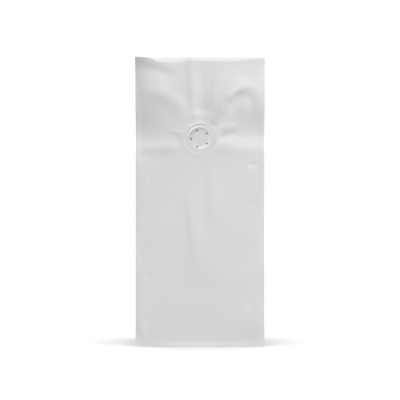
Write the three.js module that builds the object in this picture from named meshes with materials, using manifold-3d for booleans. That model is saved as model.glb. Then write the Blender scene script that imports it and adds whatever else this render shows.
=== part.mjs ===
// A quad seal bag of white film, shut, filled and standing on its block bottom,
// with a round degassing valve in the front panel.
// Millimetres, +Z up. The front panel faces -Y and the origin is the middle of the base.

import * as THREE from "three";
import { mergeVertices } from "three/addons/utils/BufferGeometryUtils.js";
import Module from "manifold-3d";

const mix = THREE.MathUtils.lerp;
const smooth = THREE.MathUtils.smoothstep;

// Driving dimensions of the bag.
const bagHeight = 246.9;
const baseDepth = 70;
const filledWidth = 110; // over the corner seals, where the contents fill the bag
const topWidth = 110.6; // over the top seal, where the film lies flat
const widthRise = 140; // where the bag begins to widen towards the top seal
const cornerSealWidth = 6;
const sealThickness = 0.8; // of one corner seal, and of each half of the top seal
const topSealHeight = 10;
const topFront = -33; // the front stands nearly upright up to the top edge
const frontShoulder = { start: 196, end: 238 };
const backShoulder = { start: 112, end: 196 }; // the back closes forwards over the contents
const weldRise = 14; // below the top seal, where the back comes to follow the front

// How far the panels and gussets are rounded out by the contents, and between which heights.
const frontBulge = { lower: 1.9, lowerEnd: 110, upper: 3.8, upperStart: 150, upperEnd: 215 };
const backBulge = { size: 7, end: 70, fallStart: 150, fallEnd: 232 };
const gussetBulge = { size: 2.5, end: 60, fallStart: 110, fallEnd: 155 };
const crownPower = 2.4;
const crownSpreadStart = 190; // above it the rounding spreads over the corner seals too

// The crease along the middle of each side gusset, which folds inwards towards the top seal.
const creaseDepthWhenFull = 0.8;
const creaseFold = { start: 125, end: 188 };
const creaseLap = 8; // how deep a gusset has folded in where it comes to follow the panels

// The edge round the flat base.
const edgeRadius = 0.25;
const edgeHeight = 0.45;

// The degassing valve.
const valveHeight = 178.2;
const flangeRadius = 12.8;
const outerRidgeHeight = 0.8;
const grooveRadius = 11.4;
const grooveHeight = 0.3;
const innerRidgeRadius = 10;
const innerRidgeHeight = 1.1;
const innerRidgeWidth = 0.9;
const dishRadius = 6.2;
const dishDepth = 0.4;
const valveThickness = 2;
const pinholeCount = 5;
const pinholeCircle = 7.3;
const pinholeRadius = 0.7;
const pinholeDepth = 1.2;
const firstPinholeAngle = 37.3;
const fitGap = 0.3;
const flatZoneRadius = 13.3; // the film is drawn flat over the valve
const flatZoneFade = 20.5;

// Fineness of the surfaces.
const frontColumns = 32;
const backColumns = 18;
const gussetColumns = 8;
const foldsStart = 150;
const lowerRowHeight = 13.5;
const upperRowHeight = 3.2;
const sealRows = 3;
const foldSteps = 12;
const valveSides = 40;
const pinholeSides = 10;

const halfDepth = baseDepth / 2;
const sealStart = bagHeight - topSealHeight;
const film = { color: 0xd9d9db, roughness: 0.42, metalness: 0 };
const valvePlastic = { color: 0xdbdbdc, roughness: 0.36, metalness: 0 };

const wasm = await Module();
wasm.setup();

// A fold of the film from one place through a bend to another, each given as [x, z]: a soft bell
// across its curve, which dies out at both ends. It is a ridge where the height is positive and a
// valley where it is not. The far width is that of its right-hand flank.
function fold(from, bend, to, width, height, farWidth = width) {
  const corners = [from, bend, to].map(([x, z]) => new THREE.Vector2(x, z));
  const points = new THREE.QuadraticBezierCurve(...corners).getPoints(foldSteps);
  return (x, z) => {
    const nearest = { distance: Infinity, side: 0, where: 0 };
    for (let step = 0; step < foldSteps; step++) {
      const along = points[step + 1].clone().sub(points[step]);
      const away = new THREE.Vector2(x, z).sub(points[step]);
      const t = THREE.MathUtils.clamp(away.dot(along) / along.lengthSq(), 0, 1);
      away.addScaledVector(along, -t);
      if (away.length() < nearest.distance) {
        nearest.distance = away.length();
        nearest.side = nearest.distance > 0 ? along.cross(away) / (along.length() * nearest.distance) : 0;
        nearest.where = (step + t) / foldSteps;
      }
    }
    const ends = smooth(Math.min(nearest.where, 1 - nearest.where), 0, 0.4);
    const flank = mix(farWidth, width, (nearest.side + 1) / 2);
    return height * ends * Math.exp(-((nearest.distance / flank) ** 2));
  };
}

// A broad rounding of the film about a middle, outwards or, with a negative height, inwards.
function swell([middleX, middleZ], [reach, above], height, below = above) {
  return (x, z) => {
    const u = (x - middleX) / reach;
    const v = (z - middleZ) / (z < middleZ ? below : above);
    return height * Math.exp(-(u ** 2) - v ** 2);
  };
}

const frontRelief = [
  // The ridge at the height of the valve, and the hollows above it.
  fold([-66, 170], [-34, 169.5], [-12, 171.5], 6.5, 1.1, 5),
  swell([-62, 180], [33, 24], -4.4, 15),
  swell([44, 182], [20, 17], -2.4, 10.5),
  swell([46, 204], [16, 13], 1.1),
  swell([-46, 214], [20, 22], 1.1),
  swell([57, 215], [18, 16], 1.8),
  // The film drawn up over the valve, and the curved folds that run out from it on both sides.
  fold([-6.5, 285], [-8.5, 220], [1, 168], 15, 1.8, 5.4),
  swell([1, 205], [6.5, 24], -1, 7),
  fold([18, 201], [24, 213], [50, 218], 4, -1.3, 6.5),
  fold([8, 190], [17, 222], [50, 222], 12, 1.2, 4),
  swell([38, 220], [20, 17], 0.9),
  fold([-64, 217], [-17, 225], [-8, 184], 6, 0.9, 7),
  // The puffed film under the top seal, and its bent corner.
  swell([40, 262], [40, 30], 2),
  swell([-55, 262], [38, 34], 6.5),
  swell([-62, 236], [14, 26], -3.2),
  swell([-52, 256], [12, 12], 8),
  fold([-58, 242], [-36, 241.5], [-13, 232], 4.5, -1.1, 6.5),
];

const backRelief = [
  // The film turns over the top of the contents.
  fold([-66, 120], [0, 108], [66, 122], 9, 1.5, 16),
  swell([-24, 88], [26, 30], 1.2),
  swell([26, 78], [24, 34], 1),
  // Long creases that run up from the corners towards the middle of the top seal.
  fold([-60, 108], [-36, 150], [-20, 232], 3, -2, 7),
  fold([60, 104], [34, 146], [24, 236], 7, -1.8, 3),
  fold([-44, 116], [-20, 140], [-4, 205], 5, 1.4, 9),
  fold([46, 124], [20, 152], [8, 216], 8, 1.2, 4.5),
  // The lower edge, drawn in all round.
  swell([0, -4], [300, 22], -1),
];
const backReliefFade = 6; // beside the corner seals

function reliefAt(relief, x, z) {
  return relief.reduce((sum, part) => sum + part(x, z), 0);
}

// 0 below a shoulder, 1 at the end height, and an even slope between the two.
function turning(z, shoulder, end) {
  const along = (height) => {
    const t = (height - shoulder.start) / (shoulder.end - shoulder.start);
    const bent = THREE.MathUtils.clamp(t, 0, 1);
    return bent ** 3 - bent ** 4 / 2 + Math.max(t - 1, 0);
  };
  return along(z) / along(end);
}

function frontCornerY(z) {
  return mix(-halfDepth, topFront, turning(z, frontShoulder, bagHeight));
}

function backCornerY(z) {
  const closed = Math.min(turning(z, backShoulder, sealStart), 1);
  return mix(halfDepth, frontCornerY(z) + 2 * sealThickness, closed);
}

function halfWidth(z) {
  return mix(filledWidth, topWidth, smooth(z, widthRise, bagHeight)) / 2;
}

// Where the corner seals begin.
function rootAt(z) {
  return halfWidth(z) - cornerSealWidth;
}

// How far a panel stands out at a place across it, with nothing at the corner seals.
function crown(x, z, bulge) {
  const end = mix(rootAt(z), halfWidth(z), smooth(z, crownSpreadStart, sealStart));
  return bulge * (1 - Math.min(Math.abs(x) / end, 1) ** crownPower);
}

function smoothFrontY(x, z) {
  const { lower, lowerEnd, upper, upperStart, upperEnd } = frontBulge;
  const bulge = lower * smooth(z, 0, lowerEnd) + (upper - lower) * smooth(z, upperStart, upperEnd);
  return frontCornerY(z) - crown(x, z, bulge);
}

const valveSlope = (smoothFrontY(0, valveHeight + 1) - smoothFrontY(0, valveHeight - 1)) / 2;

// The front panel with its folds, flat where it is drawn over the valve.
function frontY(x, z) {
  const panel = smoothFrontY(x, z) - reliefAt(frontRelief, x, z);
  const flat = smoothFrontY(0, valveHeight) + valveSlope * (z - valveHeight);
  const away = Math.hypot(x, z - valveHeight);
  return mix(flat, panel, smooth(away, flatZoneRadius, flatZoneFade));
}

// The back panel, which is welded to the front in the top seal.
function backY(x, z) {
  const { size, end, fallStart, fallEnd } = backBulge;
  const bulge = size * smooth(z, 0, end) * (1 - smooth(z, fallStart, fallEnd));
  const fade = 1 - smooth(Math.abs(x), rootAt(z) - backReliefFade, rootAt(z));
  const panel = backCornerY(z) + crown(x, z, bulge) + reliefAt(backRelief, x, z) * fade;
  const welded = frontY(x, z) + 2 * sealThickness;
  return mix(panel, welded, smooth(z, sealStart - weldRise, sealStart));
}

// How far the crease of a side gusset lies inside the line between its two corners.
function creaseInset(z) {
  const depth = (backCornerY(z) - frontCornerY(z)) / 2 - sealThickness;
  const folded = Math.sqrt(Math.max((halfDepth - sealThickness) ** 2 - depth ** 2, 0));
  return mix(creaseDepthWhenFull, folded, smooth(z, creaseFold.start, creaseFold.end));
}

function gussetBulgeAt(z) {
  const { size, end, fallStart, fallEnd } = gussetBulge;
  return size * smooth(z, 0, end) * (1 - smooth(z, fallStart, fallEnd));
}

// A panel's points at a height, from left to right with its two corner seals.
// The inset draws it in between the corners.
function panelPoints(columns, depthAt, z, inset) {
  const root = rootAt(z);
  const places = [-halfWidth(z)];
  for (let column = 0; column <= columns; column++) places.push(mix(-root, root, column / columns));
  places.push(halfWidth(z));
  return places.map((x) => {
    const share = 1 - Math.min(Math.abs(x) / root, 1) ** 4;
    return new THREE.Vector3(x, depthAt(x, z) + inset * share, z);
  });
}

// A side's points at a height, from the free edge of its front seal to that of its back seal.
function sidePoints(side, z, inset) {
  const near = (x) => frontY(x, z) + sealThickness;
  const far = (x) => backY(x, z) - sealThickness;
  const edge = side * halfWidth(z);
  const root = side * rootAt(z);
  const points = [new THREE.Vector3(edge, near(edge), z)];
  for (let column = 0; column <= gussetColumns; column++) {
    const across = mix(-1, 1, column / gussetColumns);
    const depth = creaseInset(z) * (1 - Math.abs(across));
    const out = gussetBulgeAt(z) * (1 - across ** 2) - inset * (1 - across ** 4);
    const x = root - side * (depth - out);
    const folded = smooth(depth, 0, creaseLap);
    const front = mix(near(root), near(x), folded);
    const back = mix(far(root), far(x), folded);
    points.push(new THREE.Vector3(x, mix(front, back, (across + 1) / 2), z));
  }
  points.push(new THREE.Vector3(edge, far(edge), z));
  return points;
}

// One closed outline round the bag at a height, counter-clockwise as seen from above.
function outline(z, inset = 0) {
  return [
    ...panelPoints(frontColumns, frontY, z, inset),
    ...sidePoints(1, z, inset),
    ...panelPoints(backColumns, backY, z, -inset).reverse(),
    ...sidePoints(-1, z, inset).reverse(),
  ];
}

// The outline of the top seal: the two panels welded together, with both gussets shut inside.
function sealOutline(z) {
  const between = (x) => new THREE.Vector3(x, frontY(x, z) + sealThickness, z);
  return [
    ...panelPoints(frontColumns, frontY, z, 0),
    between(halfWidth(z)),
    ...panelPoints(backColumns, backY, z, 0).reverse(),
    between(-halfWidth(z)),
  ];
}

function rowHeights() {
  const lowRows = Math.round((foldsStart - edgeHeight) / lowerRowHeight);
  const highRows = Math.round((sealStart - foldsStart) / upperRowHeight);
  const heights = [];
  for (let row = 0; row < lowRows; row++) heights.push(mix(edgeHeight, foldsStart, row / lowRows));
  for (let row = 0; row <= highRows; row++) heights.push(mix(foldsStart, sealStart, row / highRows));
  return heights;
}

// Walls between stacked outlines, and flat caps that close them.
function stackOutlines(stacks) {
  const corners = [];
  const face = (...points) => points.forEach((point) => corners.push(point.x, point.y, point.z));
  const wall = (lower, upper) => {
    lower.forEach((point, index) => {
      const next = (index + 1) % lower.length;
      face(point, lower[next], upper[next]);
      face(point, upper[next], upper[index]);
    });
  };
  const cap = (ring, upwards) => {
    const contour = ring.map((point) => new THREE.Vector2(point.x, point.y));
    for (const [a, b, c] of THREE.ShapeUtils.triangulateShape(contour, [])) {
      if (upwards) face(ring[a], ring[b], ring[c]);
      else face(ring[c], ring[b], ring[a]);
    }
  };
  for (const rings of stacks) rings.slice(1).forEach((ring, index) => wall(rings[index], ring));
  cap(stacks.at(0).at(0), false);
  cap(stacks.at(-1).at(-1), true);
  const geometry = new THREE.BufferGeometry();
  geometry.setAttribute("position", new THREE.Float32BufferAttribute(corners, 3));
  return geometry;
}

function solidFrom(geometry) {
  const bare = geometry.clone();
  bare.deleteAttribute("normal");
  bare.deleteAttribute("uv");
  const merged = mergeVertices(bare, 1e-4);
  const vertProperties = merged.attributes.position.array;
  const triVerts = new Uint32Array(merged.index.array);
  return new wasm.Manifold(new wasm.Mesh({ numProp: 3, vertProperties, triVerts }));
}

function geometryFrom(solid) {
  const mesh = solid.getMesh();
  const geometry = new THREE.BufferGeometry();
  geometry.setAttribute("position", new THREE.BufferAttribute(mesh.vertProperties, 3));
  geometry.setIndex(new THREE.BufferAttribute(mesh.triVerts, 1));
  return geometry;
}

// The valve stands square to the film: its axis is tipped back as far as the panel leans.
function placeOnPanel(object) {
  object.position.set(0, smoothFrontY(0, valveHeight), valveHeight);
  object.rotation.x = Math.PI - Math.atan(valveSlope);
  return object;
}

function makePocket() {
  const radius = flangeRadius + fitGap;
  const depth = valveThickness + fitGap;
  const reach = 3 * depth;
  const pocket = new THREE.CylinderGeometry(radius, radius, reach, valveSides);
  const place = placeOnPanel(new THREE.Object3D());
  place.updateMatrix();
  return pocket.translate(0, reach / 2 - depth, 0).applyMatrix4(place.matrix);
}

function makeBag() {
  const filled = [outline(0, edgeRadius), ...rowHeights().map((z) => outline(z))];
  const seal = [];
  for (let row = 0; row <= sealRows; row++) seal.push(sealOutline(mix(sealStart, bagHeight, row / sealRows)));
  const solid = solidFrom(stackOutlines([filled, seal])).subtract(solidFrom(makePocket()));
  const mesh = new THREE.Mesh(geometryFrom(solid), new THREE.MeshStandardMaterial(film));
  mesh.name = "bag";
  return mesh;
}

// The valve's section from its back to the middle of its dish, as [radius, height] points.
function valveSection() {
  const ridge = (radius, foot, height, width) => {
    const steps = 4;
    const points = [];
    for (let step = 0; step <= steps; step++) {
      const angle = (Math.PI * step) / steps;
      points.push([radius + width * Math.cos(angle), foot + (height - foot) * Math.sin(angle)]);
    }
    return points;
  };
  const outerRidgeWidth = (flangeRadius - grooveRadius) / 2;
  return [
    [0, -valveThickness],
    [flangeRadius, -valveThickness],
    ...ridge(flangeRadius - outerRidgeWidth, 0, outerRidgeHeight, outerRidgeWidth),
    [grooveRadius - 0.2, grooveHeight],
    ...ridge(innerRidgeRadius, grooveHeight, innerRidgeHeight, innerRidgeWidth),
    [dishRadius, -dishDepth],
    [0, -dishDepth],
  ].map(([radius, height]) => new THREE.Vector2(radius, height));
}

function makeValve() {
  let solid = solidFrom(new THREE.LatheGeometry(valveSection(), valveSides));
  for (let index = 0; index < pinholeCount; index++) {
    const angle = THREE.MathUtils.degToRad(firstPinholeAngle + (360 * index) / pinholeCount);
    const length = pinholeDepth + innerRidgeHeight;
    const hole = new THREE.CylinderGeometry(pinholeRadius, pinholeRadius, length, pinholeSides);
    const middle = length / 2 - dishDepth - pinholeDepth;
    hole.translate(pinholeCircle * Math.cos(angle), middle, -pinholeCircle * Math.sin(angle));
    solid = solid.subtract(solidFrom(hole));
  }
  const mesh = new THREE.Mesh(geometryFrom(solid), new THREE.MeshStandardMaterial(valvePlastic));
  mesh.name = "valve";
  return placeOnPanel(mesh);
}

const quadSealBag = new THREE.Group();
quadSealBag.name = "quad_seal_bag";
quadSealBag.add(makeBag(), makeValve());

export default quadSealBag;
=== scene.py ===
"""A plain white quad seal bag, shut, filled and standing, with a round degassing valve.

Lengths are in millimetres for the bag and its valve, and in metres for the studio. The bag stands
on the middle of the floor, with x to the right, y to the back and up above the floor.
"""

import logging
import math
from dataclasses import dataclass, field
from enum import Enum
from typing import Iterable

import bmesh
import bpy
import numpy as np
from mathutils import Matrix, Vector


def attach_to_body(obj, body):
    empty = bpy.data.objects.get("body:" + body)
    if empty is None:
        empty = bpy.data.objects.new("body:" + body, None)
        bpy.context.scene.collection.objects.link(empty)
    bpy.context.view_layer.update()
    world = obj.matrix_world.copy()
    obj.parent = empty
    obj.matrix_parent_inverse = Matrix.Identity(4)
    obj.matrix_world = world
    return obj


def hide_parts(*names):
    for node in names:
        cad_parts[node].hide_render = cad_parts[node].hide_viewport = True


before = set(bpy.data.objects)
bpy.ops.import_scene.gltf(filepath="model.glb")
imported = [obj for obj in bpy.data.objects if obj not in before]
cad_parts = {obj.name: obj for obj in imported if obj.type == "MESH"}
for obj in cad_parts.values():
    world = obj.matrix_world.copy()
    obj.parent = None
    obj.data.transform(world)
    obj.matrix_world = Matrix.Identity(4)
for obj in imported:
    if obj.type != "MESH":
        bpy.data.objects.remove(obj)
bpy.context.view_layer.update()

LOG = logging.getLogger("quad_seal_bag")
MM = 0.001
MERGE_MM = 1e-4
# A Mix node has sockets for each type of data. These are the factor and those for colours.
MIX_FACTOR = 0
MIX_FIRST = 6
MIX_SECOND = 7
MIX_RESULT = 2
Array = np.ndarray
Value = float | Array
Pair = tuple[float, float]
Mesh = bmesh.types.BMesh
Piece = bpy.types.Object


def smooth(low: Value, high: Value, value: Array) -> Array:
    """Return 0 below low, 1 above high and an even S-shaped rise between."""
    t = np.clip((value - low) / (high - low), 0.0, 1.0)
    return t * t * (3.0 - 2.0 * t)


def blend(first: Value, second: Value, share: Value) -> Value:
    """Return the value that lies share of the way from first to second."""
    return first + (second - first) * share


def crease(size: Pair, away: Array) -> Array:
    """Return how far a crease of a height and width lifts the film at a distance from it."""
    return size[0] * np.exp(-((away / size[1]) ** 2))


@dataclass(frozen=True)
class Fold:
    """One fold of the film along a curve with a single bend.

    Attributes:
        start: Where the fold begins, across the panel and above the base.
        bend: The place that pulls the curve aside.
        end: Where the fold ends.
        width: How far the flanks reach.
        height: The height of a ridge or, when negative, the depth of a valley.
        far_width: The reach of the flank to the right on the way from start to end, if it differs.
        steps: How many straight pieces the curve is measured along.
        fade: The share of the length over which each end fades out.
    """

    start: Pair
    bend: Pair
    end: Pair
    width: float
    height: float
    far_width: float = 0.0
    steps: int = 16
    fade: float = 0.4

    def relief(self, across: Array, up: Array) -> Array:
        """Return how far the fold lifts the film at places across and up the panel."""
        on_the_curve = 1e-9
        nearest = np.full(np.shape(across), np.inf)
        where = np.zeros(np.shape(across))
        side = np.zeros(np.shape(across))
        points = [self._point(step / self.steps) for step in range(self.steps + 1)]
        for step, (here, there) in enumerate(zip(points, points[1:])):
            along = there - here
            squared = float(along @ along)
            t = ((across - here[0]) * along[0] + (up - here[1]) * along[1]) / squared
            t = np.clip(t, 0.0, 1.0)
            beside = across - here[0] - t * along[0]
            over = up - here[1] - t * along[1]
            distance = np.hypot(beside, over)
            closer = distance < nearest
            turned = along[0] * over - along[1] * beside
            turned = turned / (distance * math.sqrt(squared) + on_the_curve)
            side = np.where(closer, turned, side)
            nearest = np.where(closer, distance, nearest)
            where = np.where(closer, (step + t) / self.steps, where)
        ends = smooth(0.0, self.fade, np.minimum(where, 1.0 - where))
        ratio = nearest / blend(self.far_width or self.width, self.width, (side + 1.0) / 2)
        return self.height * ends * np.exp(-ratio * ratio)

    def _point(self, t: float) -> Array:
        """Return the place at share t of the fold's curve."""
        start, bend, end = np.array([self.start, self.bend, self.end])
        return (1 - t) ** 2 * start + 2 * t * (1 - t) * bend + t * t * end


@dataclass(frozen=True)
class Swell:
    """A broad rounding of the film, outwards or inwards.

    Attributes:
        middle: Its place across the panel and above the base.
        reach: How far it reaches sideways and upwards.
        height: Its height or, when negative, its depth.
        turn: How far it is turned counter-clockwise, in degrees.
        under: How far it reaches downwards, if that differs.
    """

    middle: Pair
    reach: Pair
    height: float
    turn: float = 0.0
    under: float = 0.0

    def relief(self, across: Array, up: Array) -> Array:
        """Return how far the swell lifts the film at places across and up the panel."""
        turn = math.radians(self.turn)
        right = across - self.middle[0]
        rise = up - self.middle[1]
        u = (right * math.cos(turn) + rise * math.sin(turn)) / self.reach[0]
        v = rise * math.cos(turn) - right * math.sin(turn)
        v = v / np.where(v < 0.0, self.under or self.reach[1], self.reach[1])
        return self.height * np.exp(-(u * u) - v * v)


@dataclass(frozen=True)
class Unevenness:
    """The faint waviness of laminated film, the same on every run.

    Random waves run across each other. The height is that of all together, and the spread the
    range of their lengths as shares of the middling one.
    """

    seed: int
    height: float
    length: float
    waves: int = 16
    spread: Pair = (0.6, 1.8)

    def relief(self, across: Array, up: Array) -> Array:
        """Return how far the waves lift the film at places across and up the panel."""
        draw = np.random.default_rng(self.seed)
        lift = 0.0 * across
        for _ in range(self.waves):
            turn = draw.uniform(0.0, math.pi)
            phase = draw.uniform(0.0, 2 * math.pi)
            pitch = self.length * draw.uniform(*self.spread)
            along = across * math.cos(turn) + up * math.sin(turn)
            lift = lift + np.sin(2 * math.pi * along / pitch + phase)
        return self.height * lift / math.sqrt(self.waves)


Relief = Iterable[Fold | Swell | Unevenness]


def total_relief(parts: Relief, across: Array, up: Array) -> Array:
    """Return how far all the parts together lift the film."""
    return sum(part.relief(across, up) for part in parts)


@dataclass(frozen=True)
class BagShape:
    """The film's form, worked out from the bag's sizes.

    A pair of heights says where a change begins and where it is complete.
    """

    height: float = 246.9
    base_depth: float = 70.0
    filled_width: float = 110.0
    top_width: float = 110.6
    widens_from: float = 140.0
    seal_width: float = 6.0
    seal_thickness: float = 0.5
    top_seal: float = 10.0
    # The front leans back and the back leans forward above these shoulders.
    top_front: float = -33.0
    front_shoulder: Pair = (196.0, 238.0)
    back_shoulder: Pair = (112.0, 196.0)
    # The panels are rounded between the corner seals and, from a height on, over them too.
    crown_power: float = 2.4
    crown_widens_from: float = 190.0
    lower_bulge: float = 1.9
    lower_bulge_rise: Pair = (0.0, 110.0)
    upper_bulge: float = 3.8
    upper_bulge_rise: Pair = (150.0, 215.0)
    top_flattening: float = 0.15
    flattens_from: float = 212.0
    back_bulge: float = 7.0
    back_bulge_rise: Pair = (0.0, 70.0)
    back_bulge_fall: Pair = (150.0, 232.0)
    # The sides, whose crease folds inwards near the top.
    gusset_bulge: float = 2.5
    gusset_bulge_rise: Pair = (0.0, 60.0)
    gusset_bulge_fall: Pair = (110.0, 155.0)
    crease_fold: Pair = (125.0, 188.0)
    crease_depth: float = 0.8
    # The rounded lower edge.
    edge_radius: float = 0.25
    edge_height: float = 0.45
    # The valve's seat: a pocket in a flat zone, which fades into the panel.
    valve_up: float = 178.2
    valve_pocket: float = 12.2
    valve_sink: float = 0.4
    pocket_depth: float = 2.6
    pocket_wall: float = 0.7
    flat_zone: float = 13.3
    flat_zone_fade: float = 20.5
    # The film that the seat draws with it.
    drawn_by_valve: tuple[Swell, ...] = (
        Swell((0.5, 203.5), (8.5, 32.0), -2.6, under=9.5),
        Swell((23.5, 209.5), (3.7, 8.5), 2.7, -31.0, under=15.0),
        Swell((10.2, 188.5), (3.4, 3.4), -0.9),
    )

    @property
    def seal_start(self) -> float:
        """Return the height at which the panels meet in the top seal."""
        return self.height - self.top_seal

    @staticmethod
    def turning(up: Array, shoulder: Pair, end: float) -> Array:
        """Return how far a corner seal has turned in above a shoulder.

        Args:
            up: Heights above the base.
            shoulder: The heights between which the seal bends.
            end: The height at which it has turned in fully.

        Returns:
            0 below the shoulder, an even slope above it and 1 at the end.
        """
        def along(height: Array) -> Array:
            """Return the depth reached at a height, where the even slope is 1."""
            t = (height - shoulder[0]) / (shoulder[1] - shoulder[0])
            bent = np.clip(t, 0.0, 1.0)
            return bent**3 - bent**4 / 2 + np.maximum(t - 1.0, 0.0)

        return along(np.asarray(up, float)) / along(np.array(end))

    def front_corner(self, up: Array) -> Array:
        """Return the depth of the front corner seals."""
        closed = self.turning(up, self.front_shoulder, self.height)
        return blend(-self.base_depth / 2, self.top_front, closed)

    def back_corner(self, up: Array) -> Array:
        """Return the depth of the back corner seals, which end in the top seal."""
        closed = np.minimum(self.turning(up, self.back_shoulder, self.seal_start), 1.0)
        sealed = self.front_corner(up) + 2 * self.seal_thickness
        return blend(self.base_depth / 2, sealed, closed)

    def half_width(self, up: Array) -> Array:
        """Return half the width over the corner seals."""
        widened = smooth(self.widens_from, self.height, up)
        return blend(self.filled_width, self.top_width, widened) / 2

    def root(self, up: Array) -> Array:
        """Return the distance from the middle to where the corner seals begin."""
        return self.half_width(up) - self.seal_width

    def crown(self, x: Array, up: Array, bulge: Array) -> Array:
        """Return a rounding of a panel, which is nothing at the corner seals.

        Args:
            x: Places to the right of the middle.
            up: Heights above the base.
            bulge: How far the middle is rounded out at each height.

        Returns:
            The rounding at each place.
        """
        widened = smooth(self.crown_widens_from, self.seal_start, up)
        end = blend(self.root(up), self.half_width(up), widened)
        share = np.minimum(np.abs(x) / end, 1.0)
        return bulge * (1.0 - share**self.crown_power)

    def front_bulge(self, up: Array) -> Array:
        """Return how far the middle of the front panel is rounded out."""
        lower = self.lower_bulge * smooth(*self.lower_bulge_rise, up)
        upper = (self.upper_bulge - self.lower_bulge) * smooth(*self.upper_bulge_rise, up)
        flattened = self.top_flattening * smooth(self.flattens_from, self.height, up)
        return (lower + upper) * (1.0 - flattened)

    def crease_inset(self, up: Array) -> Array:
        """Return how deep the middle crease of a gusset lies."""
        reach = (self.back_corner(up) - self.front_corner(up)) / 2 - self.seal_thickness
        half = self.base_depth / 2 - self.seal_thickness
        folded = np.sqrt(np.maximum(half**2 - reach**2, 0.0))
        return blend(self.crease_depth, folded, smooth(*self.crease_fold, up))

    def smooth_front(self, x: Array, up: Array) -> Array:
        """Return the depth of the front panel without its folds."""
        return self.front_corner(up) - self.crown(x, up, self.front_bulge(up))

    def valve_depth(self, above: float = 0.0) -> float:
        """Return the depth of the panel at the middle of the valve, or at a height above it."""
        return float(self.smooth_front(np.array(0.0), np.array(self.valve_up + above)))

    def valve_slope(self) -> float:
        """Return how far the panel leans back at the valve, per millimetre of height."""
        return (self.valve_depth(1.0) - self.valve_depth(-1.0)) / 2

    def valve_place(self) -> Matrix:
        """Return the valve's frame: X to the right, Z out of the panel, in metres."""
        lean = math.atan(self.valve_slope())
        place = Matrix.Translation(Vector((0.0, self.valve_depth(), self.valve_up)) * MM)
        return place @ Matrix.Rotation(math.pi / 2 - lean, 4, "X")


def front_relief() -> Relief:
    """Return the folds and swells of the front panel, most of which run out from the valve."""
    return [
        # The ridge through the valve, and the hollows above it.
        Fold((-66, 170), (-34, 169.5), (-12, 171.5), 6.5, 1.1, 5.0),
        Swell((-20, 171), (8, 4), 0.35, under=8.0),
        Swell((20, 170.5), (10, 6), 0.4, under=9.0),
        Swell((-62, 180), (33, 24), -4.4, under=15.0),
        Swell((-46, 214), (20, 22), 1.1, -12.0),
        Swell((44, 182), (20, 17), -2.4, under=10.5),
        Swell((46, 204), (16, 13), 1.1),
        Fold((10, 171), (34, 168.5), (66, 169), 9.0, 0.5, 5.0),
        Swell((57, 215), (18, 16), 1.8),
        # The film drawn up over the valve, with a steep left flank.
        Fold((-6.5, 285), (-8.5, 220), (1, 168), 15.0, 1.8, 5.4),
        Swell((-2.5, 217), (5, 10), 0.6),
        Swell((1, 205), (6.5, 24), -0.5, under=7.0),
        Fold((9.5, 255), (9, 214), (8, 190), 3.5, -0.25),
        # Folds that run out to the right.
        Fold((18, 201), (24, 213), (50, 218), 4.0, -1.3, 6.5),
        Fold((8, 190), (17, 222), (50, 222), 12.0, 1.2, 4.0),
        Swell((38, 220), (20, 17), 0.9),
        Fold((10, 183.5), (22, 188), (35, 188), 3.0, 0.6),
        Fold((5, 173), (21, 179), (36, 185), 2.6, -0.9, 3.4),
        Swell((44, 210), (5, 4.5), -0.9, under=12.0),
        Swell((40, 262), (40, 30), 2.0),
        # Folds that run out to the left.
        Fold((-64, 217), (-17, 225), (-8, 184), 6.0, 0.9, 7.0),
        Fold((-29, 185.5), (-18, 183), (-8, 178.5), 2.0, 0.4),
        # The puffed film under the top seal, and its bent corner.
        Swell((-55, 262), (38, 34), 6.5),
        Swell((-62, 236), (14, 26), -3.2),
        Swell((-55, 256), (11.5, 12), 8.0),
        Fold((-58, 239), (-38, 237), (-13, 227), 4.5, -1.0, 6.5),
        Swell((41, 229), (7, 5), -0.4),
        # Faint drawn lines under the valve.
        Fold((-9, 140), (-8, 110), (-2, 60), 9.0, 0.7, 4.5),
        Fold((9, 166), (9.5, 135), (11, 96), 8.0, 0.5, 3.8),
        # The lower edge, which flares out a little in its middle.
        Swell((0, -2), (48, 3.6), 1.7),
        Swell((-51, 2), (16, 12), -0.4),
        Swell((51, 2), (16, 12), -0.9),
        Unevenness(seed=11, height=0.16, length=46.0),
    ]


def back_relief() -> Relief:
    """Return the folds of the back panel, which slopes forward above the contents."""
    return [
        # The film turns over the top of the contents.
        Fold((-66, 120), (0, 108), (66, 122), 9.0, 1.5, 16.0),
        Swell((-24, 88), (26, 30), 1.2, 20.0),
        Swell((26, 78), (24, 34), 1.0, -15.0),
        # Long creases that run up from the corners towards the middle of the top seal.
        Fold((-60, 108), (-36, 150), (-20, 232), 3.0, -2.0, 7.0),
        Fold((60, 104), (34, 146), (24, 236), 7.0, -1.8, 3.0),
        Fold((-44, 116), (-20, 140), (-4, 205), 5.0, 1.4, 9.0),
        Fold((46, 124), (20, 152), (8, 216), 8.0, 1.2, 4.5),
        Fold((-30, 172), (4, 160), (34, 178), 6.0, -1.1, 9.0),
        Fold((-50, 214), (-10, 204), (30, 216), 5.0, 0.8, 8.0),
        Swell((0, 186), (20, 16), 1.0),
        Swell((-40, 190), (10, 22), -1.0, 12.0),
        Swell((42, 196), (10, 20), -0.9, -14.0),
        # The lower edge, drawn in all round.
        Swell((0, -4), (300, 22), -1.0),
        Unevenness(seed=23, height=0.22, length=42.0),
    ]


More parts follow.
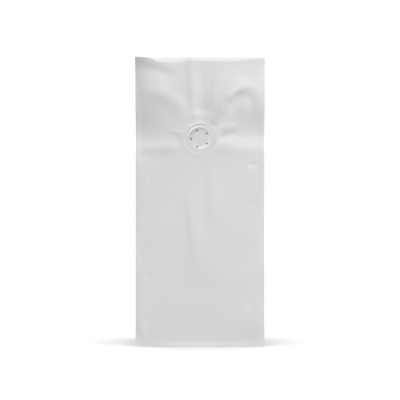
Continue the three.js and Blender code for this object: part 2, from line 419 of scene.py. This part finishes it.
def gusset_relief(side: int) -> Relief:
    """Return the folds of one side gusset, which is creased down its middle.

    Args:
        side: 1 for the right, -1 for the left.

    Returns:
        The folds, with places from the middle of the gusset towards the back.
    """
    lean = 1.5 * side
    return [
        # The crease down the middle, which stays from when the bag was flat.
        Fold((0.5 * lean, -30), (0, 70), (0, 170), 1.5, -0.55),
        # Where the crease folds in, the film is drawn towards both corners.
        Fold((0, 96), (11, 128), (40, 150 + 2 * lean), 3.2, 1.5, 8.0),
        Fold((0, 96), (-11, 130), (-40, 154 - 2 * lean), 8.0, 1.5, 3.2),
        Fold((-2, 78), (13 + lean, 98), (34, 112), 3.0, -0.9, 6.0),
        Fold((2, 74), (-14 + lean, 96), (-34, 116), 6.0, -0.8, 3.0),
        Swell((14, 58 + 6 * lean), (11, 24), 0.9, 8.0),
        Swell((-15, 52 - 5 * lean), (10, 22), 0.8, -10.0),
        Fold((-30, 26 + lean), (0, 34), (30, 24 - lean), 4.0, -0.6, 9.0),
        Unevenness(seed=31 + side, height=0.2, length=34.0),
    ]


@dataclass(frozen=True)
class EdgePuckers:
    """Small dimples on each side, where the film puckers beside its corner seals.

    A pair is the range that a random measure is drawn from.
    """

    seed: int
    count: int
    heights: Pair
    from_seal: Pair = (1.0, 7.0)
    reach_across: Pair = (2.0, 4.5)
    reach_up: Pair = (1.6, 3.2)
    depth: Pair = (0.1, 0.27)
    turn: Pair = (-10.0, 35.0)

    def swells(self, root: float) -> list[Swell]:
        """Return the dimples of both sides.

        Args:
            root: How far from the middle the corner seals begin.

        Returns:
            The dimples, the same on every run.
        """
        draw = np.random.default_rng(self.seed)
        dimples = []
        for side in (-1, 1):
            for _ in range(self.count):
                inwards = root - draw.uniform(*self.from_seal)
                middle = (side * inwards, draw.uniform(*self.heights))
                reach = (draw.uniform(*self.reach_across), draw.uniform(*self.reach_up))
                height = -draw.uniform(*self.depth)
                dimples.append(Swell(middle, reach, height, side * draw.uniform(*self.turn)))
        return dimples


@dataclass(frozen=True)
class CornerSeal:
    """How the corner seals lean and wave, more and more towards their free edge.

    A wave is a height and the length in which it turns by a radian. The groove at the seal's root
    is a depth and a width. The seals are calmer up to the foot above the base and in the neck
    below the top seal.
    """

    lean: float = 0.7
    waves: tuple[Pair, ...] = ((0.35, 17.0), (0.2, 7.3))
    right_phase: float = 1.7
    bend: float = 1.5
    groove: Pair = (0.08, 0.8)
    foot: float = 12.0
    neck: float = 30.0

    def relief(self, shape: BagShape, x: Array, up: Array, phase: float) -> Array:
        """Return how far the seals of one panel lean away from its plane.

        Args:
            shape: The bag's form.
            x: Places to the right of the middle.
            up: Heights above the base.
            phase: How far the first wave has turned at the base, in radians.

        Returns:
            The distance, which is nothing between the seals.
        """
        beyond = np.maximum(np.abs(x) - shape.root(up), 0.0) / shape.seal_width
        sealed = smooth(shape.seal_start - self.neck, shape.seal_start, up)
        calm = smooth(0.0, self.foot, up) * (1.0 - sealed)
        side = np.where(x > 0, self.right_phase, 0.0)
        wave = sum(
            height * np.sin(up / length + order * phase + side)
            for order, (height, length) in enumerate(self.waves, 1)
        )
        groove = crease(self.groove, np.abs(x) - shape.root(up)) * calm
        return (self.lean + wave) * beyond**self.bend * calm + groove


@dataclass(frozen=True)
class Curl:
    """A stretch of the top seal's free edge that curls back.

    The width lies on each side of the middle, and the reach is how far down the film curls.
    """

    middle: float
    width: float
    reach: float

    def at(self, x: Array) -> Array:
        """Return how far down the film curls at each place."""
        return self.reach * np.exp(-(((x - self.middle) / self.width) ** 4))


@dataclass(frozen=True)
class FoldedBase:
    """How the folded base stands clear of the floor.

    Only its seam band and its rim rest on the floor. Beside the band lie the single film and, at
    both ends, the tucked corners of the gussets, which are lifted further. The edges and the rim
    say where the film begins to rise and where it has risen. A crease is a height and a width.
    """

    seam_offset: float = 5.0
    seam_width: float = 10.0
    film_lift: float = 0.55
    film_edge: Pair = (-0.3, 0.5)
    tuck_lift: float = 0.45
    tuck_edge: Pair = (-0.4, 0.4)
    tuck_crease: Pair = (0.3, 0.9)
    middle_crease: Pair = (0.2, 0.8)
    rim: Pair = (0.6, 3.5)

    def lift(self, shape: BagShape, x: Array, y: Array) -> Array:
        """Return how far the base stands clear of the floor.

        Args:
            shape: The bag's form.
            x: Places to the right of the middle.
            y: Places behind the middle.

        Returns:
            The height above the floor.
        """
        side = shape.root(0 * x)
        depth = shape.base_depth / 2
        to_rim = np.minimum(side - np.abs(x), depth - np.abs(y))
        from_seam = np.abs(y - self.seam_offset) - self.seam_width / 2
        tucked = np.abs(x) - (side - depth) - np.abs(y)
        film = self.film_lift * smooth(*self.film_edge, from_seam)
        raised = film + self.tuck_lift * smooth(*self.tuck_edge, tucked)
        creased = crease(self.tuck_crease, tucked) + crease(self.middle_crease, y)
        return (raised + creased) * smooth(*self.rim, to_rim)


@dataclass(frozen=True)
class Rows:
    """Rows of points, by their heights and by how far the rounded lower edge draws them in."""

    up: Array
    inset: Array

    def grid(self, columns: Array) -> tuple[Array, Array]:
        """Return the columns and every point's height, shaped as a grid."""
        across = columns[:, None]
        return across, self.up[None, :] + 0 * across


class Face(Enum):
    """The two panels, with the way that leads out of each."""

    FRONT = -1
    BACK = 1


@dataclass
class BagFilm:
    """The bag's film: panels, gussets, corner seals, top seal and folded base."""

    shape: BagShape = BagShape()
    corner_seal: CornerSeal = CornerSeal()
    folded_base: FoldedBase = FoldedBase()
    front: Relief = field(default_factory=front_relief)
    back: Relief = field(default_factory=back_relief)
    front_puckers: EdgePuckers = EdgePuckers(seed=5, count=9, heights=(12.0, 165.0))
    back_puckers: EdgePuckers = EdgePuckers(seed=8, count=14, heights=(12.0, 190.0))
    front_seal_phase: float = 0.4
    back_seal_phase: float = 2.1
    # The free edge of the top seal curls back a little, and more in two places.
    curls: tuple[Curl, ...] = (Curl(-24.5, 16.0, 5.0), Curl(19.0, 27.0, 3.6))
    least_curl: float = 0.6
    curl_slope: float = 0.68
    # Where the back's folds end beside the corner seals, and where it meets the front on top.
    back_folds_end: Pair = (-6.0, 1.0)
    weld_blend: float = 14.0
    # Where the gusset's folds end below the top seal, and how deep its crease is when flat.
    gusset_folds_end: Pair = (60.0, 20.0)
    flat_crease: float = 8.0
    # The power with which the rounded lower edge runs out towards the corners.
    edge_power: int = 4
    # The mesh, whose rows lie closer above this height, where the folds are.
    folds_start: float = 150.0
    panel_columns: int = 150
    gusset_columns: int = 28
    seal_columns: int = 4
    low_rows: int = 64
    high_rows: int = 126
    top_row_count: int = 16
    round_rows: int = 3
    sharp: float = 38.0

    def __post_init__(self) -> None:
        """Pucker the panels along their corner seals."""
        root = self.shape.filled_width / 2 - self.shape.seal_width
        self.front = [*self.front, *self.front_puckers.swells(root)]
        self.back = [*self.back, *self.back_puckers.swells(root)]

    def seal_steps(self) -> Array:
        """Return the columns of a corner seal, from 1 at its root to 2 at its free edge."""
        return 1 + np.arange(1, self.seal_columns + 1) / self.seal_columns

    def panel_steps(self) -> Array:
        """Return a panel's columns, from -2 to 2 over both of its corner seals."""
        seal = self.seal_steps()
        return np.concatenate([-seal[::-1], np.linspace(-1, 1, self.panel_columns + 1), seal])

    def panel_x(self, across: Array, up: Array) -> Array:
        """Return the sideways places of a panel's columns."""
        inside = np.clip(across, -1.0, 1.0)
        return inside * self.shape.root(up) + (across - inside) * self.shape.seal_width

    def top_curl(self, x: Array, up: Array) -> Array:
        """Return how far the free edge of the top seal curls back."""
        reach = sum((curl.at(x) for curl in self.curls), start=self.least_curl)
        share = np.clip((up - self.shape.height + reach) / reach, 0.0, 1.0)
        return self.curl_slope * reach * share**2

    def front_y(self, x: Array, up: Array) -> Array:
        """Return the depth of the front panel's outer face.

        Args:
            x: Places to the right of the middle.
            up: Heights above the base.

        Returns:
            The places behind the middle.
        """
        shape = self.shape
        panel = shape.smooth_front(x, up) - total_relief(self.front, x, up)
        rise = up - shape.valve_up
        flat = shape.valve_depth() + shape.valve_slope() * rise
        flat = flat - shape.valve_sink * (1.0 - rise / shape.flat_zone) / 2
        away = np.hypot(x, rise)
        y = blend(flat, panel, smooth(shape.flat_zone, shape.flat_zone_fade, away))
        y = y - total_relief(shape.drawn_by_valve, x, up)
        pocket = 1.0 - smooth(shape.valve_pocket, shape.valve_pocket + shape.pocket_wall, away)
        y = y + shape.pocket_depth * pocket
        seal = self.corner_seal.relief(shape, x, up, self.front_seal_phase)
        return y + seal + self.top_curl(x, up)

    def back_y(self, x: Array, up: Array) -> Array:
        """Return the depth of the back panel's outer face, which meets the front on top.

        Args:
            x: Places to the right of the middle.
            up: Heights above the base.

        Returns:
            The places behind the middle.
        """
        shape = self.shape
        risen = smooth(*shape.back_bulge_rise, up)
        bulge = shape.back_bulge * risen * (1.0 - smooth(*shape.back_bulge_fall, up))
        folds_from, folds_to = (shape.root(up) + end for end in self.back_folds_end)
        lift = total_relief(self.back, x, up)
        lift = lift * (1.0 - smooth(folds_from, folds_to, np.abs(x)))
        y = shape.back_corner(up) + shape.crown(x, up, bulge) + lift
        y = y - self.corner_seal.relief(shape, x, up, self.back_seal_phase)
        welded = self.front_y(x, up) + 2 * shape.seal_thickness
        return blend(y, welded, smooth(shape.seal_start - self.weld_blend, shape.seal_start, up))

    def panel(self, face: Face, rows: Rows) -> Array:
        """Return a panel's points with both corner seals, from left to right.

        Args:
            face: Which panel.
            rows: Its rows.

        Returns:
            Columns and rows of points.
        """
        across, rise = rows.grid(self.panel_steps())
        x = self.panel_x(across, rise)
        y = self.front_y(x, rise) if face is Face.FRONT else self.back_y(x, rise)
        share = 1.0 - np.minimum(np.abs(across), 1.0) ** self.edge_power
        return np.stack([x, y - face.value * rows.inset * share, rise], axis=-1)

    def inner_faces(self, x: Array, up: Array) -> tuple[Array, Array]:
        """Return the depths of the inner faces of the front and the back panel."""
        thickness = self.shape.seal_thickness
        return self.front_y(x, up) + thickness, self.back_y(x, up) - thickness

    def side(self, side: int, rows: Rows) -> Array:
        """Return a side's points from the front seal's edge to the back seal's edge.

        Args:
            side: 1 for the right, -1 for the left.
            rows: Its rows.

        Returns:
            Columns and rows of points.
        """
        seal, rise = rows.grid(self.seal_steps()[::-1])
        x = side * self.panel_x(seal, rise)
        front, back = self.inner_faces(x, rise)
        near = np.stack([x, front, rise], axis=-1)
        far = np.stack([x, back, rise], axis=-1)[::-1]
        return np.concatenate([near, self.gusset(side, rows), far])

    def gusset(self, side: int, rows: Rows) -> Array:
        """Return a gusset's points between its two corner seals.

        Args:
            side: 1 for the right, -1 for the left.
            rows: Its rows.

        Returns:
            Columns and rows of points.
        """
        shape = self.shape
        across, rise = rows.grid(np.linspace(-1, 1, self.gusset_columns + 1))
        root = side * shape.root(rise)
        front, back = self.inner_faces(root, rise)
        fallen = smooth(*shape.gusset_bulge_fall, rise)
        swell = smooth(*shape.gusset_bulge_rise, rise) * (1.0 - fallen)
        depth = shape.crease_inset(rise) * (1.0 - np.abs(across))
        share = 1.0 - across**self.edge_power
        width = across * (back - front) / 2
        folds_from, folds_to = (shape.seal_start - below for below in self.gusset_folds_end)
        lift = total_relief(gusset_relief(side), width, rise)
        lift = lift * (1.0 - smooth(folds_from, folds_to, rise))
        out = shape.gusset_bulge * swell * (1.0 - across**2) + lift * share
        x = root - side * (depth - out + rows.inset * share)
        near, far = self.inner_faces(x, rise)
        folded = smooth(0.0, self.flat_crease, depth)
        y = blend(blend(front, near, folded), blend(back, far, folded), (across + 1) / 2)
        return np.stack([x, y, rise], axis=-1)

    def rows(self) -> Rows:
        """Return the rows from the rounded lower edge to the top seal."""
        shape = self.shape
        turn = np.linspace(0.0, math.pi / 2, self.round_rows + 1)[:-1]
        rounded = shape.edge_height * (1.0 - np.cos(turn))
        inset = shape.edge_radius * (1.0 - np.sin(turn))
        low = np.linspace(shape.edge_height, self.folds_start, self.low_rows + 1)[:-1]
        high = np.linspace(self.folds_start, shape.seal_start, self.high_rows + 1)
        straight = np.concatenate([low, high])
        return Rows(np.concatenate([rounded, straight]), np.concatenate([inset, 0 * straight]))

    def top_rows(self) -> Rows:
        """Return the rows of the top seal."""
        up = np.linspace(self.shape.seal_start, self.shape.height, self.top_row_count + 1)
        return Rows(up, 0 * up)

    def ring(self, rows: Rows) -> Array:
        """Return the points all round the bag, with the first column again.

        Args:
            rows: Its rows.

        Returns:
            Columns and rows of points.
        """
        front = self.panel(Face.FRONT, rows)
        back = self.panel(Face.BACK, rows)[::-1]
        right = self.side(1, rows)
        left = self.side(-1, rows)[::-1]
        return np.concatenate([front, right, back, left, front[:1]])

    def seal_band(self, rows: Rows) -> Array:
        """Return the points round the top seal, with the first column again.

        Args:
            rows: Its rows.

        Returns:
            Columns and rows of points.
        """
        front = self.panel(Face.FRONT, rows)
        back = self.panel(Face.BACK, rows)
        middle = (front + back) / 2
        return np.concatenate([front, middle[-1:], back[::-1], middle[:1], front[:1]])

    def base(self, lowest: Rows) -> Array:
        """Return the points of the base, which meets the lowest row all round.

        Args:
            lowest: The lowest row alone.

        Returns:
            Columns and rows of points.
        """
        inner = slice(self.seal_columns, -self.seal_columns)
        front = self.panel(Face.FRONT, lowest)[inner, 0]
        back = self.panel(Face.BACK, lowest)[inner, 0]
        side = self.gusset(1, lowest)[:, 0]
        side = np.concatenate([front[-1:], side, back[-1:]])
        depth = (side[:, 1] - side[0, 1]) / (side[-1, 1] - side[0, 1])
        x = (front[:, 0] / front[-1, 0])[:, None] * side[None, :, 0]
        y = blend(front[:, 1:2], back[:, 1:2], depth[None, :])
        return np.stack([x, y, self.folded_base.lift(self.shape, x, y)], axis=-1)

    def build(self) -> Piece:
        """Build the film as one closed mesh and return its object."""
        rows = self.rows()
        bm = bmesh.new()
        add_grid(bm, self.ring(rows))
        add_grid(bm, self.seal_band(self.top_rows()))
        add_grid(bm, self.base(Rows(rows.up[:1], rows.inset[:1]))[:, ::-1])
        close_mesh(bm)
        bmesh.ops.scale(bm, vec=(MM, MM, MM), verts=bm.verts)
        return finish_mesh(bm, "bag_film", self.sharp)


def add_grid(bm: Mesh, points: Array) -> None:
    """Add a grid of faces whose corners lie on the points.

    Args:
        bm: The mesh to add to.
        points: Columns and rows of points.
    """
    columns = points.shape[0] - 1
    rows = points.shape[1] - 1
    half = 0.5
    made = bmesh.ops.create_grid(bm, x_segments=columns, y_segments=rows, size=half)["verts"]
    for vert in made:
        column = round((vert.co.x + half) * columns)
        row = round((vert.co.y + half) * rows)
        vert.co = points[column, row]


def close_mesh(bm: Mesh) -> None:
    """Join what touches, fill every open rim and turn the faces outwards."""
    bmesh.ops.remove_doubles(bm, verts=bm.verts, dist=MERGE_MM)
    rims = [edge for edge in bm.edges if edge.is_boundary]
    bmesh.ops.holes_fill(bm, edges=rims, sides=0)
    bmesh.ops.recalc_face_normals(bm, faces=bm.faces)


def add_object(name: str, data: bpy.types.ID) -> Piece:
    """Put a new object with this data into the scene and return it."""
    made = bpy.data.objects.new(name, data)
    bpy.context.scene.collection.objects.link(made)
    return made


def finish_mesh(bm: Mesh, name: str, sharp: float) -> Piece:
    """Turn a bmesh into a smooth-shaded object.

    Args:
        bm: The mesh, which is freed.
        name: The name of the object and of its mesh.
        sharp: The angle in degrees past which an edge is sharp.

    Returns:
        The new object.
    """
    mesh = bpy.data.meshes.new(name)
    bm.to_mesh(mesh)
    bm.free()
    mesh.shade_smooth()
    mesh.set_sharp_from_angle(angle=math.radians(sharp))
    LOG.info("%s: %d faces", name, len(mesh.polygons))
    return add_object(name, mesh)


@dataclass(frozen=True)
class Ridge:
    """A round ridge on the valve's face."""

    radius: float
    half_width: float
    height: float

    def lift(self, away: float, share: float) -> float:
        """Return the ridge's height at a distance from the middle, scaled by a share."""
        near = min(abs(away - self.radius) / self.half_width, 1.0)
        return share * self.height * math.cos(near * math.pi / 2) ** 2


@dataclass
class DegassingValve:
    """The round valve: a ridge at its rim, a second ridge and a dish with pinholes.

    Turns are in degrees, counter-clockwise from the right.
    """

    shape: BagShape = BagShape()
    # The plate, whose rim drops a little.
    rim: float = 13.2
    plate: float = 0.02
    rim_drop: float = 0.04
    rim_rounding: float = 0.25
    back: float = -2.3
    # The ridges, which are highest at the upper left and nearly flush at the lower right.
    outer_ridge: Ridge = Ridge(12.1, 1.05, 0.4)
    inner_ridge: Ridge = Ridge(9.7, 1.5, 0.6)
    ridge_turn: float = 112.0
    lowest_ridge: float = 0.12
    # The dish, which lies a little below the middle of the plate.
    dish_middle: Pair = (-0.1, -0.9)
    dish_wall: Pair = (5.9, 9.2)
    dish_depth: float = 0.72
    dish_tilt: float = 0.025
    # The pinholes, each in a dimple of the film.
    pinholes: int = 5
    pinhole_circle: float = 7.3
    pinhole_radius: float = 0.85
    pinhole_depth: float = 2.1
    first_pinhole: float = 37.3
    dimple_reach: float = 1.7
    dimple_depth: float = 0.12
    # The mesh.
    sides: int = 144
    rings: int = 84
    pinhole_sides: int = 24
    drill_reach: float = 2.0
    uncut_sharp: float = 50.0
    sharp: float = 40.0
    shortest_edge: float = 0.001

    def face(self, place: Vector) -> float:
        """Return the height of the valve's face.

        Args:
            place: A place on the valve.

        Returns:
            The height above the plane of the panel.
        """
        radius = place.xy.length
        inner = (place.xy - Vector(self.dish_middle)).length
        turn = math.atan2(place.y, place.x) - math.radians(self.ridge_turn)
        share = blend(self.lowest_ridge, 1.0, (1.0 + math.cos(turn)) / 2)
        at_rim = float(smooth(self.rim - self.rim_rounding, self.rim, np.array(radius)))
        floor = self.dish_depth - self.dish_tilt * place.y
        dish = floor * float(1.0 - smooth(*self.dish_wall, np.array(inner)))
        ridges = self.outer_ridge.lift(radius, share) + self.inner_ridge.lift(inner, share)
        return self.plate + ridges - self.rim_drop * at_rim - dish - self.dimples(place)

    def dimples(self, place: Vector) -> float:
        """Return how deep the pinholes' dimples are at a place."""
        reach = self.dimple_reach * self.pinhole_radius
        ratios = [(place.xy - hole.xy).length / reach for hole in self.holes()]
        return self.dimple_depth * sum(math.exp(-(ratio**4)) for ratio in ratios)

    def holes(self) -> list[Vector]:
        """Return the middles of the pinholes on the valve's face."""
        middle = Vector((*self.dish_middle, 0.0))
        angles = [self.first_pinhole + 360.0 * hole / self.pinholes for hole in range(self.pinholes)]
        turns = [math.radians(angle) for angle in angles]
        return [middle + Vector((math.cos(t), math.sin(t), 0.0)) * self.pinhole_circle for t in turns]

    def disc(self) -> Mesh:
        """Return the valve without its pinholes, turned from its half section and embossed."""
        bm = bmesh.new()
        radii = [self.rim * (1.0 - ring / self.rings) for ring in range(self.rings + 1)]
        section = [Vector((self.rim, 0.0, self.back))]
        section += [Vector((radius, 0.0, 0.0)) for radius in radii]
        verts = [bm.verts.new(point) for point in section]
        edges = [bm.edges.new(pair) for pair in zip(verts, verts[1:])]
        bmesh.ops.spin(
            bm, geom=verts + edges, axis=(0, 0, 1), cent=(0, 0, 0), angle=2 * math.pi,
            steps=self.sides, use_merge=True,
        )
        close_mesh(bm)
        for vert in bm.verts:
            if vert.co.z > self.back / 2:
                vert.co.z = self.face(vert.co)
        return bm

    def drill(self) -> Mesh:
        """Return the pins that cut the pinholes."""
        bm = bmesh.new()
        for hole in self.holes():
            middle = hole + Vector((0.0, 0.0, self.drill_reach - self.pinhole_depth))
            bmesh.ops.create_cone(
                bm, cap_ends=True, segments=self.pinhole_sides, radius1=self.pinhole_radius,
                radius2=self.pinhole_radius, depth=2 * self.drill_reach,
                matrix=Matrix.Translation(middle),
            )
        return bm

    def build(self) -> Piece:
        """Build the valve, pierce it and put it in its place."""
        valve = finish_mesh(self.disc(), "degassing_valve", self.uncut_sharp)
        pins = finish_mesh(self.drill(), "valve_drill", self.uncut_sharp)
        cut = valve.modifiers.new("pinholes", "BOOLEAN")
        cut.operation = "DIFFERENCE"
        cut.solver = "EXACT"
        cut.object = pins
        bpy.context.view_layer.update()
        graph = bpy.context.evaluated_depsgraph_get()
        pierced = bpy.data.meshes.new_from_object(valve.evaluated_get(graph))
        bpy.data.objects.remove(valve)
        bpy.data.objects.remove(pins)
        bm = bmesh.new()
        bm.from_mesh(pierced)
        bmesh.ops.scale(bm, vec=(MM, MM, MM), verts=bm.verts)
        bmesh.ops.transform(bm, matrix=self.shape.valve_place(), verts=bm.verts)
        bmesh.ops.dissolve_degenerate(bm, dist=self.shortest_edge * MM, edges=bm.edges)
        return finish_mesh(bm, "degassing_valve", self.sharp)


class Socket:
    """A shader value that builds a Math node when it is added, subtracted or multiplied."""

    def __init__(self, nodes: "Nodes", output: bpy.types.NodeSocket) -> None:
        """Wrap an output socket of a node tree."""
        self.nodes = nodes
        self.output = output

    def _math(self, operation: str, first: object, second: object) -> "Socket":
        """Return the result of one Math node."""
        return self.nodes.add("ShaderNodeMath", {"operation": operation}, {0: first, 1: second})

    def __add__(self, other: object) -> "Socket":
        """Return the sum."""
        return self._math("ADD", self, other)

    __radd__ = __add__

    def __mul__(self, other: object) -> "Socket":
        """Return the product."""
        return self._math("MULTIPLY", self, other)

    def __sub__(self, other: object) -> "Socket":
        """Return the difference."""
        return self._math("SUBTRACT", self, other)


class Nodes:
    """The node tree of one material or of the world."""

    def __init__(self, owner: bpy.types.Material | bpy.types.World) -> None:
        """Start with an empty node tree."""
        owner.use_nodes = True
        self.tree = owner.node_tree
        self.tree.nodes.clear()

    def add(self, kind: str, settings: dict[str, object], inputs: dict[object, object],
            output: int | str = 0) -> Socket:
        """Add a node.

        Args:
            kind: The node's type name.
            settings: Properties that are set first.
            inputs: Values or sockets for the node's inputs, by name or number.
            output: Which output to return.

        Returns:
            The wrapped output socket.
        """
        node = self.tree.nodes.new(kind)
        for name, value in settings.items():
            setattr(node, name, value)
        for name, value in inputs.items():
            if isinstance(value, Socket):
                self.tree.links.new(value.output, node.inputs[name])
            else:
                node.inputs[name].default_value = value
        return Socket(self, node.outputs[output])

    def finish(self, shader: Socket, kind: str = "ShaderNodeOutputMaterial") -> None:
        """Connect the shader to an output node of a kind."""
        end = self.tree.nodes.new(kind)
        self.tree.links.new(shader.output, end.inputs["Surface"])


@dataclass(frozen=True)
class SatinFilm:
    """White laminated film with a soft sheen, a fine grain and faint broad clouds.

    The colour is the lightest one, and the darkest is a share of it. The clouds and the grains
    say how many of them lie on a metre, and how often finer ones are laid over them.
    """

    name: str
    color: tuple[float, float, float]
    roughness: float
    bumpiness: float = 0.02
    darkest: float = 0.975
    sheen_range: float = 0.12
    clouds: Pair = (28.0, 3.0)
    grains: Pair = (900.0, 2.0)
    cloud_height: float = 2.0
    refraction: float = 1.5

    def material(self) -> bpy.types.Material:
        """Build the film's material."""
        made = bpy.data.materials.new(self.name)
        nodes = Nodes(made)
        place = nodes.add("ShaderNodeTexCoord", {}, {}, "Object")
        clouds, grains = (
            nodes.add("ShaderNodeTexNoise", {}, {"Vector": place, "Scale": scale, "Detail": detail})
            for scale, detail in (self.clouds, self.grains)
        )
        dark = [channel * self.darkest for channel in self.color]
        color = nodes.add(
            "ShaderNodeMix", {"data_type": "RGBA"},
            {MIX_FACTOR: clouds, MIX_FIRST: (*dark, 1.0), MIX_SECOND: (*self.color, 1.0)},
            MIX_RESULT,
        )
        roughness = self.roughness + (clouds - 0.5) * self.sheen_range
        height = grains + clouds * self.cloud_height
        bump = nodes.add(
            "ShaderNodeBump", {}, {"Height": height, "Strength": self.bumpiness, "Distance": MM},
        )
        shader = nodes.add(
            "ShaderNodeBsdfPrincipled", {},
            {"Base Color": color, "Roughness": roughness, "Normal": bump, "IOR": self.refraction},
        )
        nodes.finish(shader)
        return made


@dataclass(frozen=True)
class FarLight:
    """A large soft light far away, which reaches the whole floor alike.

    The turn is to the right of the camera, the rise above the floor and the width how large the
    light looks, all in degrees.
    """

    name: str
    turn: float
    rise: float
    width: float
    strength: float

    def build(self) -> Piece:
        """Hang the light and return it."""
        data = bpy.data.lights.new(self.name, "SUN")
        data.angle = math.radians(self.width)
        data.energy = self.strength
        lamp = add_object(self.name, data)
        lamp.rotation_euler = (math.radians(90.0 - self.rise), 0.0, math.radians(self.turn))
        return lamp


@dataclass(frozen=True)
class Studio:
    """A white floor, a white surround, soft lights and the camera of the photograph."""

    camera_distance: float = 1.285
    camera_height: float = 0.1251
    focal_pixels: float = 1465.4
    frame_pixels: int = 400
    sensor: float = 36.0
    surround: float = 0.785
    backdrop: float = 1.15
    floor_seen: float = 0.485
    floor_bounce: float = 0.235
    floor_size: float = 30.0
    bag_key: FarLight = FarLight("bag_key", 45.0, 42.0, 45.0, 1.86)
    valve_key: FarLight = FarLight("valve_key", -30.0, 45.0, 45.0, 1.4)
    back_key: FarLight = FarLight("back_key", 205.0, 30.0, 45.0, 1.0)
    floor_top: FarLight = FarLight("floor_top", 0.0, 82.0, 80.0, 5.15)

    def build(self) -> None:
        """Build the floor with the light over it, the surround and the camera."""
        bpy.context.scene.view_settings.view_transform = "Standard"
        self._floor()
        self._surround()
        self._camera()

    def aim(self, light: FarLight, piece: Piece) -> None:
        """Hang a light that reaches one piece only, though every piece may shade it.

        Args:
            light: The light.
            piece: What it reaches.
        """
        lit = bpy.data.collections.new(f"lit_by_{light.name}")
        lit.objects.link(piece)
        light.build().light_linking.receiver_collection = lit

    def _floor(self) -> None:
        """Lay the pale floor, which shows brighter than the light it throws back."""
        bm = bmesh.new()
        bmesh.ops.create_grid(bm, x_segments=2, y_segments=2, size=self.floor_size)
        floor = finish_mesh(bm, "floor", sharp=180.0)
        pale = bpy.data.materials.new("pale_floor")
        nodes = Nodes(pale)
        rays = nodes.add("ShaderNodeLightPath", {}, {}, "Is Camera Ray")
        tone = self.floor_bounce + rays * (self.floor_seen - self.floor_bounce)
        nodes.finish(nodes.add("ShaderNodeBsdfDiffuse", {}, {"Color": tone}))
        floor.data.materials.append(pale)
        self.aim(self.floor_top, floor)

    def _surround(self) -> None:
        """Make the white surround: full white behind the bag, softer as a light."""
        world = bpy.data.worlds.new("white_surround")
        nodes = Nodes(world)
        white = (1.0, 1.0, 1.0, 1.0)
        rays = nodes.add("ShaderNodeLightPath", {}, {}, "Is Camera Ray")
        soft = nodes.add("ShaderNodeBackground", {}, {"Color": white, "Strength": self.surround})
        seen = nodes.add("ShaderNodeBackground", {}, {"Color": white, "Strength": self.backdrop})
        pick = nodes.add("ShaderNodeMixShader", {}, {0: rays, 1: soft, 2: seen})
        nodes.finish(pick, "ShaderNodeOutputWorld")
        bpy.context.scene.world = world

    def _camera(self) -> None:
        """Set the camera level, straight in front of the bag."""
        data = bpy.data.cameras.new("camera")
        data.sensor_width = self.sensor
        data.lens = self.sensor * self.focal_pixels / self.frame_pixels
        camera = add_object("camera", data)
        camera.location = (0.0, -self.camera_distance, self.camera_height)
        camera.rotation_euler = (math.pi / 2, 0.0, 0.0)
        bpy.context.scene.camera = camera


def attach(piece: Piece, material: bpy.types.Material, node: str) -> None:
    """Dress a piece, ride it on the bag and let it stand for a CAD node.

    Args:
        piece: The piece.
        material: What it is made of.
        node: The name of the CAD node.
    """
    piece.data.materials.clear()
    piece.data.materials.append(material)
    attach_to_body(piece, "root")
    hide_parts(node)
    LOG.info("%s stands for %s", piece.name, node)


def main() -> None:
    """Build the bag, its valve and the studio."""
    logging.basicConfig(level=logging.INFO, format="%(message)s")
    studio = Studio()
    studio.build()
    film = SatinFilm("white_film", (0.7, 0.696, 0.712), 0.42)
    skin = SatinFilm("valve_film", (0.72, 0.72, 0.725), 0.36)
    bag = BagFilm().build()
    valve = DegassingValve().build()
    attach(bag, film.material(), "bag")
    attach(valve, skin.material(), "valve")
    studio.aim(studio.bag_key, bag)
    studio.aim(studio.back_key, bag)
    studio.aim(studio.valve_key, valve)


if __name__ == "__main__":
    main()
